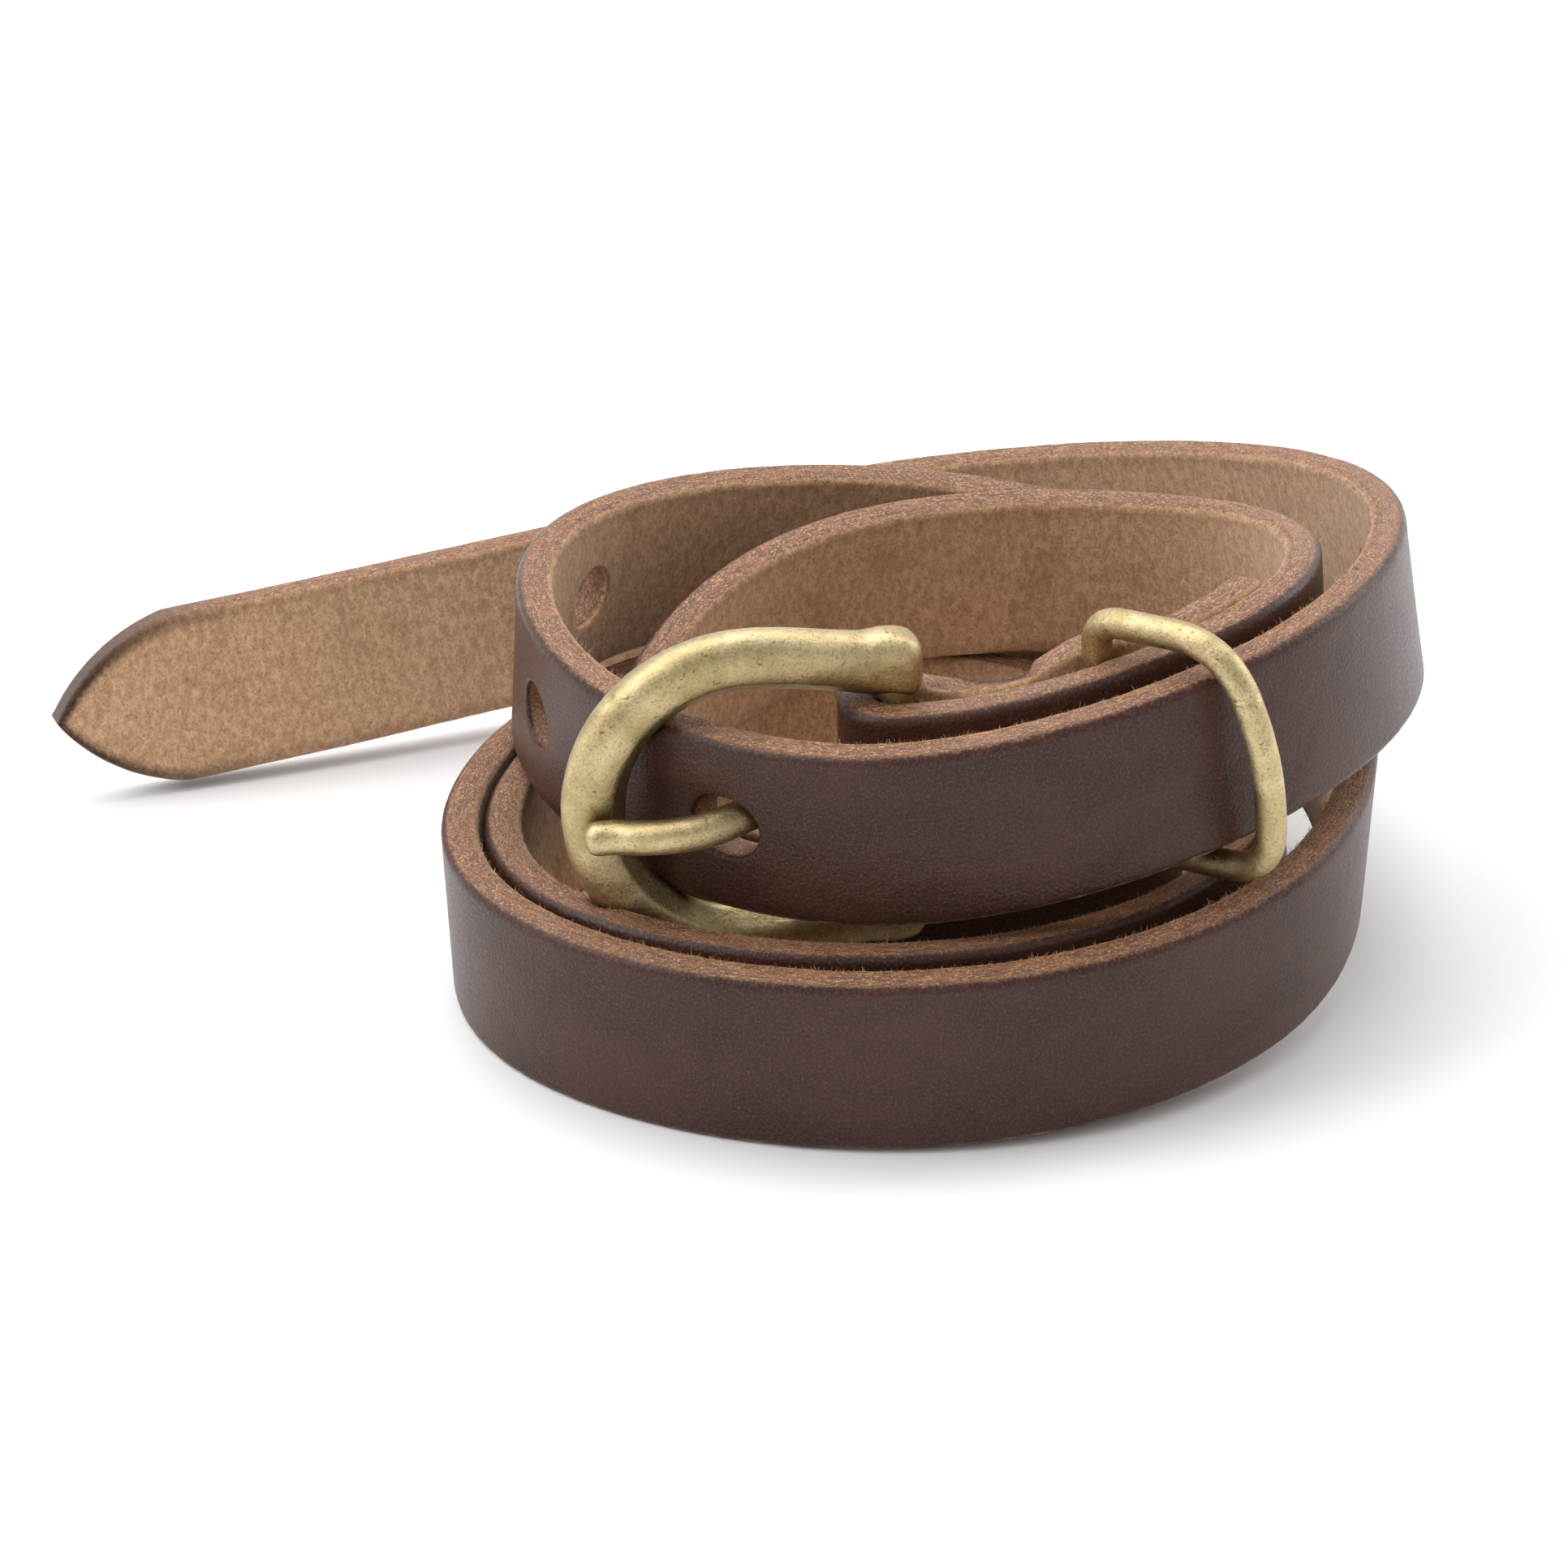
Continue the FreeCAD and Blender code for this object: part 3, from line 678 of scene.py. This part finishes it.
def rounded_loop(corners, cuts, steps=12):
    """Points round a polygon, each corner eased from a cut's length before it to the same after it."""
    points = []
    for index, (corner, cut) in enumerate(zip(corners, cuts)):
        following = (index + 1) % len(corners)
        back = unit(corners[index - 1] - corner)
        ahead = unit(corners[following] - corner)
        for f in np.linspace(0, 1, steps):
            points.append(corner + back * cut * (1 - f) ** 2 + ahead * cut * f**2)
        near, far = corner + ahead * cut, corners[following] - ahead * cuts[following]
        for share in np.arange(1, steps) / steps:
            points.append(near + (far - near) * share)
    return np.array(points)


def make_keeper(run, material):
    """Bent wire loop round the main layer and the turn in front, its straight side behind that layer."""
    centre, along, out, across = [v[0] for v in station_at(run, np.array([KEEPER_AT]))]
    roll = math.radians(KEEPER_ROLL)
    up = across * math.cos(roll) + along * math.sin(roll)
    heading = math.radians(KEEPER_HEADING)
    reach = np.array([math.cos(heading), math.sin(heading), 0.0])
    reach = unit(reach - up * (reach @ up))
    origin = centre - out * (HALF_THICK + KEEPER_SLACK / 2 + KEEPER_WIRE_RADIUS)
    outline = [
        (0.0, KEEPER_BOTTOM),
        (0.0, KEEPER_TOP),
        (KEEPER_SHOULDER, KEEPER_TOP),
        (KEEPER_DEPTH + KEEPER_BELLY, KEEPER_BELLY_AT),
        (KEEPER_DEPTH - KEEPER_BELLY, KEEPER_BOTTOM),
    ]
    corners = [origin + reach * far + up * high for far, high in outline]
    loop = rounded_loop(corners, KEEPER_CUTS)
    tangent = unit(np.roll(loop, -1, 0) - np.roll(loop, 1, 0))
    normal = np.cross(reach, up)
    angle = np.linspace(0, 2 * math.pi, WIRE_POINTS, endpoint=False)
    rings = []
    for index, (place, forward) in enumerate(zip(loop, tangent)):
        side = unit(np.cross(forward, normal))
        radius = KEEPER_WIRE_RADIUS * (1 + WIRE_UNEVEN * noise.noise(Vector((index * 0.35, 1.0, 0.0))))
        circle = np.outer(np.cos(angle), side) + np.outer(np.sin(angle), normal)
        rings.append(place + radius * circle)
    points, faces = tube(np.array(rings), True)
    make_piece("keeper_wire", points, faces, material, "keeper", ["keeper_loop"])


# ---------------------------------------------------------------- materials


class Graph:
    """Shorthand for one material's node tree."""

    def __init__(self, name):
        self.material = bpy.data.materials.new(name)
        self.material.use_nodes = True
        self.tree = self.material.node_tree
        self.surface = self.tree.nodes["Principled BSDF"]

    def node(self, kind, inputs=None, **settings):
        """New node; each input is linked when it is a socket, and set when it is a value."""
        made = self.tree.nodes.new("ShaderNode" + kind)
        for key, value in settings.items():
            setattr(made, key, value)
        for key, value in (inputs or {}).items():
            if isinstance(value, bpy.types.NodeSocket):
                self.tree.links.new(value, made.inputs[key])
            else:
                made.inputs[key].default_value = value
        return made

    def maths(self, operation, *values):
        return self.node("Math", dict(enumerate(values)), operation=operation).outputs[0]

    def stretch(self, vector, scale):
        """Coordinates with a scale of their own along each axis."""
        return self.node("Mapping", {"Vector": vector, "Scale": scale}).outputs[0]

    def noise(self, vector, scale, detail=3.0, rough=0.55, distortion=0.0):
        inputs = {"Vector": vector, "Scale": scale, "Detail": detail, "Roughness": rough}
        inputs["Distortion"] = distortion
        return self.node("TexNoise", inputs).outputs["Fac"]

    def step(self, value, low, high, out_low=0.0, out_high=1.0):
        """Smooth rise from out_low to out_high while the value goes from low to high."""
        inputs = {"Value": value, "From Min": low, "From Max": high, "To Min": out_low, "To Max": out_high}
        return self.node("MapRange", inputs, interpolation_type="SMOOTHSTEP").outputs[0]

    def mix(self, factor, first, second):
        """Colour between two colours, each a socket or three numbers."""
        colours = []
        for colour in (first, second):
            colours.append((*colour, 1.0) if isinstance(colour, tuple) else colour)
        inputs = {0: factor, 6: colours[0], 7: colours[1]}
        return self.node("Mix", inputs, data_type="RGBA").outputs[2]

    def blend(self, factor, first, second):
        """Number between two numbers."""
        return self.node("Mix", {0: factor, 2: first, 3: second}).outputs[0]

    def bump(self, height, distance, normal=None):
        """Normal for a relief whose height of 1 stands the distance in millimetres."""
        inputs = {"Height": height, "Distance": distance * MM, "Strength": 1.0}
        if normal is not None:
            inputs["Normal"] = normal
        return self.node("Bump", inputs).outputs[0]

    def finish(self, **inputs):
        """Feed the surface shader's inputs, their names written with underscores."""
        for key, value in inputs.items():
            socket = self.surface.inputs[key.replace("_", " ")]
            if isinstance(value, bpy.types.NodeSocket):
                self.tree.links.new(value, socket)
            else:
                socket.default_value = value
        return self.material


# Linear colours of the leather
GRAIN_DARK = (0.026, 0.0105, 0.0075)
GRAIN_MID = (0.050, 0.0195, 0.0135)
GRAIN_RED = (0.150, 0.058, 0.034)
GRAIN_WORN = (0.50, 0.33, 0.23)
FLESH_PALE = (0.74, 0.47, 0.28)
FLESH_TAN = (0.47, 0.27, 0.145)
FLESH_DARK = (0.21, 0.10, 0.05)
EDGE_RED = (0.27, 0.120, 0.056)
EDGE_PALE = (0.66, 0.39, 0.205)
EDGE_DARK = (0.13, 0.050, 0.024)
BURNISHED = (0.030, 0.012, 0.008)

# Depths through the strap where the grain and the flesh begin, and where they are complete
GRAIN_DEPTHS = (1.15, 1.55)
FLESH_DEPTHS = (-1.15, -1.75)
# Distances before the tip where its dark stain begins, and where it is full
TIP_STAIN = 26.0
TIP_STAIN_FULL = 2.0
# Places across the strap between which the lower edge's worn line fades in
WORN_LINE = (-8.9, -9.15)


def leather(length):
    """Bridle leather: waxed grain outside, suede flesh inside, rounded raw edge between the two."""
    g = Graph("bridle_leather")
    flat = g.node("Attribute", attribute_name="flat").outputs["Vector"]
    inset = g.node("Attribute", attribute_name="inset").outputs["Fac"]
    split = g.node("SeparateXYZ", {"Vector": flat}).outputs
    fine = g.noise(g.stretch(flat, (3.4, 5.5, 5.5)), 1.0, 4.0, 0.65)
    ragged = g.maths("MULTIPLY", g.maths("SUBTRACT", g.noise(flat, 1.7, 3.0, 0.7), 0.5), 0.9)
    through = g.maths("ADD", split[2], ragged)
    is_grain = g.step(through, *GRAIN_DEPTHS)
    torn = g.maths("ADD", split[2], g.maths("MULTIPLY", ragged, 1.4))
    is_flesh = g.step(torn, *FLESH_DEPTHS)
    tip = g.step(split[0], length - TIP_STAIN, length - TIP_STAIN_FULL)

    # grain side
    clouds = g.noise(g.stretch(flat, (0.07, 0.11, 0.1)), 1.0, 3.0, 0.6, 0.6)
    fleck = g.noise(g.stretch(flat, (4.2, 3.2, 1.0)), 1.0, 4.0, 0.7)
    grain = g.mix(g.step(clouds, 0.3, 0.7), GRAIN_DARK, GRAIN_MID)
    grain = g.mix(g.step(fleck, 0.46, 0.66, 0.0, 0.55), grain, GRAIN_RED)
    lower_edge = g.step(g.maths("ADD", split[1], g.maths("MULTIPLY", ragged, 0.35)), *WORN_LINE)
    broken = g.step(g.noise(g.stretch(flat, (0.6, 4.0, 2.0)), 1.0, 4.0, 0.8), 0.5, 0.62)
    worn = g.maths("MULTIPLY", g.maths("MULTIPLY", lower_edge, broken), 0.8)
    grain = g.mix(worn, grain, GRAIN_WORN)

    # flesh side
    nap = g.noise(g.stretch(flat, (1.3, 0.8, 1.0)), 1.0, 5.0, 0.75, 0.4)
    patches = g.noise(g.stretch(flat, (0.16, 0.09, 0.1)), 1.0, 3.0, 0.6, 0.8)
    flesh = g.mix(g.step(nap, 0.33, 0.68), FLESH_TAN, FLESH_PALE)
    flesh = g.mix(g.step(patches, 0.5, 0.8, 0.0, 0.3), flesh, FLESH_DARK)
    scuff = g.noise(g.stretch(flat, (4.0, 3.0, 2.0)), 1.0, 4.0, 0.7)
    flesh = g.mix(g.step(scuff, 0.5, 0.68, 0.0, 0.6), flesh, FLESH_DARK)
    rim = g.step(g.maths("ADD", inset, g.maths("MULTIPLY", ragged, 1.6)), 2.2, 0.4)
    burnish = g.maths("MULTIPLY", rim, g.maths("ADD", g.maths("MULTIPLY", tip, 0.75), 0.22))
    flesh = g.mix(burnish, flesh, BURNISHED)

    # edges and the walls of the holes
    streak = g.noise(g.stretch(flat, (0.55, 3.2, 3.2)), 1.0, 5.0, 0.75, 0.3)
    edge = g.mix(g.step(streak, 0.43, 0.58), EDGE_DARK, EDGE_RED)
    edge = g.mix(g.step(fine, 0.50, 0.66, 0.0, 0.8), edge, EDGE_PALE)
    edge = g.mix(g.step(split[2], 0.7, 1.6, 0.0, 0.5), edge, EDGE_DARK)
    edge = g.mix(g.maths("MULTIPLY", tip, 0.8), edge, BURNISHED)

    colour = g.mix(is_flesh, g.mix(is_grain, edge, grain), flesh)
    pores = g.noise(flat, 2.6, 3.0, 0.6)
    edge_rough = g.step(streak, 0.3, 0.7, 0.42, 0.62)
    grain_rough = g.step(pores, 0.35, 0.65, 0.30, 0.42)
    rough = g.blend(is_flesh, g.blend(is_grain, edge_rough, grain_rough), 0.95)
    height = g.blend(is_grain, g.maths("MULTIPLY", streak, 3.0), g.maths("MULTIPLY", pores, 1.3))
    height = g.blend(is_flesh, height, g.maths("MULTIPLY", g.maths("ADD", nap, scuff), 2.2))
    waves = g.bump(clouds, 0.25)
    normal = g.bump(height, 0.07, waves)
    shine = g.blend(is_flesh, g.blend(is_grain, 0.55, 0.3), 0.1)
    fuzz = g.maths("MULTIPLY", is_flesh, 0.25)
    return g.finish(
        Base_Color=colour,
        Roughness=rough,
        Normal=normal,
        Specular_IOR_Level=shine,
        Sheen_Weight=fuzz,
    )


def fibre():
    """Raw leather fibre, the colours of the cut edge."""
    g = Graph("leather_fibre")
    place = g.node("TexCoord").outputs["Object"]
    tone = g.noise(place, 900.0, 2.0)
    colour = g.mix(g.step(tone, 0.35, 0.65), EDGE_RED, EDGE_PALE)
    bumps = g.bump(tone, 0.01)
    return g.finish(Base_Color=colour, Roughness=0.8, Specular_IOR_Level=0.2, Normal=bumps)


BRASS_WARM = (0.41, 0.315, 0.155)
BRASS_PALE = (0.70, 0.575, 0.335)
BRASS_PATINA = (0.20, 0.135, 0.045)
BRASS_SPECK = (0.045, 0.030, 0.014)


def brass(name, seed, wear):
    """Satin antique brass with tumbled grain, and patina with painted shade in its hollows and close
    contacts; wear, 0 to 1, makes it paler.
    """
    g = Graph(name)
    metres = g.node("TexCoord").outputs["Object"]
    mapping = {"Vector": metres, "Location": (seed, 0.0, 0.0), "Scale": (1 / MM,) * 3}
    place = g.node("Mapping", mapping).outputs[0]
    clouds = g.noise(place, 0.22, 3.0, 0.6, 0.5)
    grain = g.noise(place, 3.6, 4.0, 0.75)
    scratch = g.noise(g.stretch(place, (0.5, 3.5, 1.2)), 1.3, 4.0, 0.7)
    speck = g.noise(place, 1.5, 4.0, 0.8)
    colour = g.mix(g.step(clouds, 0.3, 0.7, 0.1 * wear, 0.55 + 0.4 * wear), BRASS_WARM, BRASS_PALE)
    colour = g.mix(g.step(grain, 0.30, 0.56, 0.6, 0.0), colour, BRASS_PATINA)
    # Patina and painted shade: the colour is pulled to the patina colour, and roughness raised, where
    # ambient occlusion finds hollows and close contacts with other parts.
    hollow = g.node("AmbientOcclusion", {"Distance": 2.5 * MM}, samples=8).outputs["AO"]
    patina_and_shade = g.step(g.maths("ADD", hollow, g.maths("MULTIPLY", grain, 0.3)), 0.95, 0.45, 0.0, 0.75)
    colour = g.mix(patina_and_shade, colour, BRASS_PATINA)
    colour = g.mix(g.step(speck, 0.60, 0.68, 0.0, 0.75), colour, BRASS_SPECK)
    rough = g.maths("ADD", g.step(grain, 0.3, 0.7, 0.30, 0.46), g.maths("MULTIPLY", patina_and_shade, 0.12))
    height = g.maths("ADD", grain, g.maths("MULTIPLY", scratch, 0.5))
    normal = g.bump(height, 0.06, g.bump(clouds, 0.15))
    return g.finish(Base_Color=colour, Metallic=1.0, Roughness=rough, Normal=normal)


# ---------------------------------------------------------------- stage, light and camera

CAMERA_ELEVATION = 26.95
CAMERA_DISTANCE = 700.4
CAMERA_TARGET = (COIL_PLACE[0] - 10.88, COIL_PLACE[1], 17.4)
CAMERA_LENS = 156.27
SENSOR_WIDTH = 36.0
FLOOR_SIZE = 8.0
LIGHT_AIM = (0.0, 0.0, 0.02)
WORLD_FRONT = 0.55
WORLD_BACK = 1.05
WORLD_SEEN = 1.1


def area_light(name, place, size, power):
    """Softbox that faces the belt from a place in metres."""
    lamp = bpy.data.lights.new(name, "AREA")
    lamp.shape = "RECTANGLE"
    lamp.size, lamp.size_y = size
    lamp.energy = power
    box = bpy.data.objects.new(name, lamp)
    box.location = place
    box.rotation_mode = "QUATERNION"
    box.rotation_quaternion = (Vector(LIGHT_AIM) - Vector(place)).to_track_quat("-Z", "Y")
    bpy.context.scene.collection.objects.link(box)


def make_world():
    """White where the camera sees it; as light, brighter from behind the belt than from the viewer."""
    world = bpy.data.worlds.new("studio")
    world.use_nodes = True
    tree = world.node_tree
    background = tree.nodes["Background"]
    coordinates = tree.nodes.new("ShaderNodeTexCoord")
    split = tree.nodes.new("ShaderNodeSeparateXYZ")
    tree.links.new(coordinates.outputs["Generated"], split.inputs[0])
    fade = tree.nodes.new("ShaderNodeMapRange")
    fade.interpolation_type = "SMOOTHSTEP"
    fade.inputs["From Min"].default_value = -0.9
    fade.inputs["From Max"].default_value = 0.35
    fade.inputs["To Min"].default_value = WORLD_FRONT
    fade.inputs["To Max"].default_value = WORLD_BACK
    tree.links.new(split.outputs["Y"], fade.inputs["Value"])
    path = tree.nodes.new("ShaderNodeLightPath")
    level = tree.nodes.new("ShaderNodeMix")
    tree.links.new(path.outputs["Is Camera Ray"], level.inputs[0])
    tree.links.new(fade.outputs[0], level.inputs[2])
    level.inputs[3].default_value = WORLD_SEEN
    tree.links.new(level.outputs[0], background.inputs["Strength"])
    background.inputs["Color"].default_value = (1.0, 1.0, 1.0, 1.0)
    bpy.context.scene.world = world


def make_floor():
    """Wide sheet of pale paper under the belt."""
    half = FLOOR_SIZE / 2
    mesh = bpy.data.meshes.new("floor")
    corners = [(-half, -half, 0), (half, -half, 0), (half, half, 0), (-half, half, 0)]
    mesh.from_pydata(corners, [], [(0, 1, 2, 3)])
    g = Graph("floor_paper")
    place = g.node("TexCoord").outputs["Object"]
    tone = g.noise(place, 6.0, 2.0)
    colour = g.mix(tone, (0.88, 0.88, 0.885), (0.90, 0.90, 0.90))
    mesh.materials.append(g.finish(Base_Color=colour, Roughness=0.9, Specular_IOR_Level=0.1))
    floor = bpy.data.objects.new("floor", mesh)
    bpy.context.scene.collection.objects.link(floor)


def make_camera():
    """Long lens at the photograph's angle, looking along +Y and down."""
    camera = bpy.data.cameras.new("camera")
    camera.sensor_width = SENSOR_WIDTH
    camera.lens = CAMERA_LENS
    camera.clip_start = 0.01
    camera.clip_end = 100.0
    seat = bpy.data.objects.new("camera", camera)
    angle = math.radians(CAMERA_ELEVATION)
    back = Vector((0.0, -math.cos(angle), math.sin(angle)))
    seat.location = (Vector(CAMERA_TARGET) + back * CAMERA_DISTANCE) * MM
    seat.rotation_mode = "QUATERNION"
    seat.rotation_quaternion = (-back).to_track_quat("-Z", "Y")
    bpy.context.scene.collection.objects.link(seat)
    bpy.context.scene.camera = seat


def main():
    run = main_run()
    line = strap_line(run)
    axes = buckle_axes(run)
    make_strap(run, line, axes, leather(line[0][-1]))
    make_fibres(line, fibre())
    make_buckle(axes, brass("buckle_brass", 0.0, 0.6))
    make_tongue(axes, brass("tongue_brass", 31.0, 0.5))
    make_keeper(run, brass("keeper_brass", 57.0, 0.9))
    carried = {"heel_bar": brass("bar_brass", 83.0, 0.3)}
    screw_brass = brass("screw_brass", 101.0, 0.6)
    for end in ("front", "rear"):
        carried["screw_post_" + end] = screw_brass
        carried["binding_screw_" + end] = screw_brass
    for node, material in carried.items():
        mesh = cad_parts[node].data
        mesh.materials.clear()
        mesh.materials.append(material)
    make_floor()
    make_world()
    area_light("overhead", (-0.25, 0.35, 1.1), (1.2, 0.9), 9.0)
    area_light("left_key", (-0.9, -0.25, 0.75), (0.6, 0.6), 5.0)
    area_light("right_rim", (0.9, 0.45, 0.5), (0.4, 0.7), 3.0)
    make_camera()
    bpy.context.scene.view_settings.view_transform = "Standard"


main()
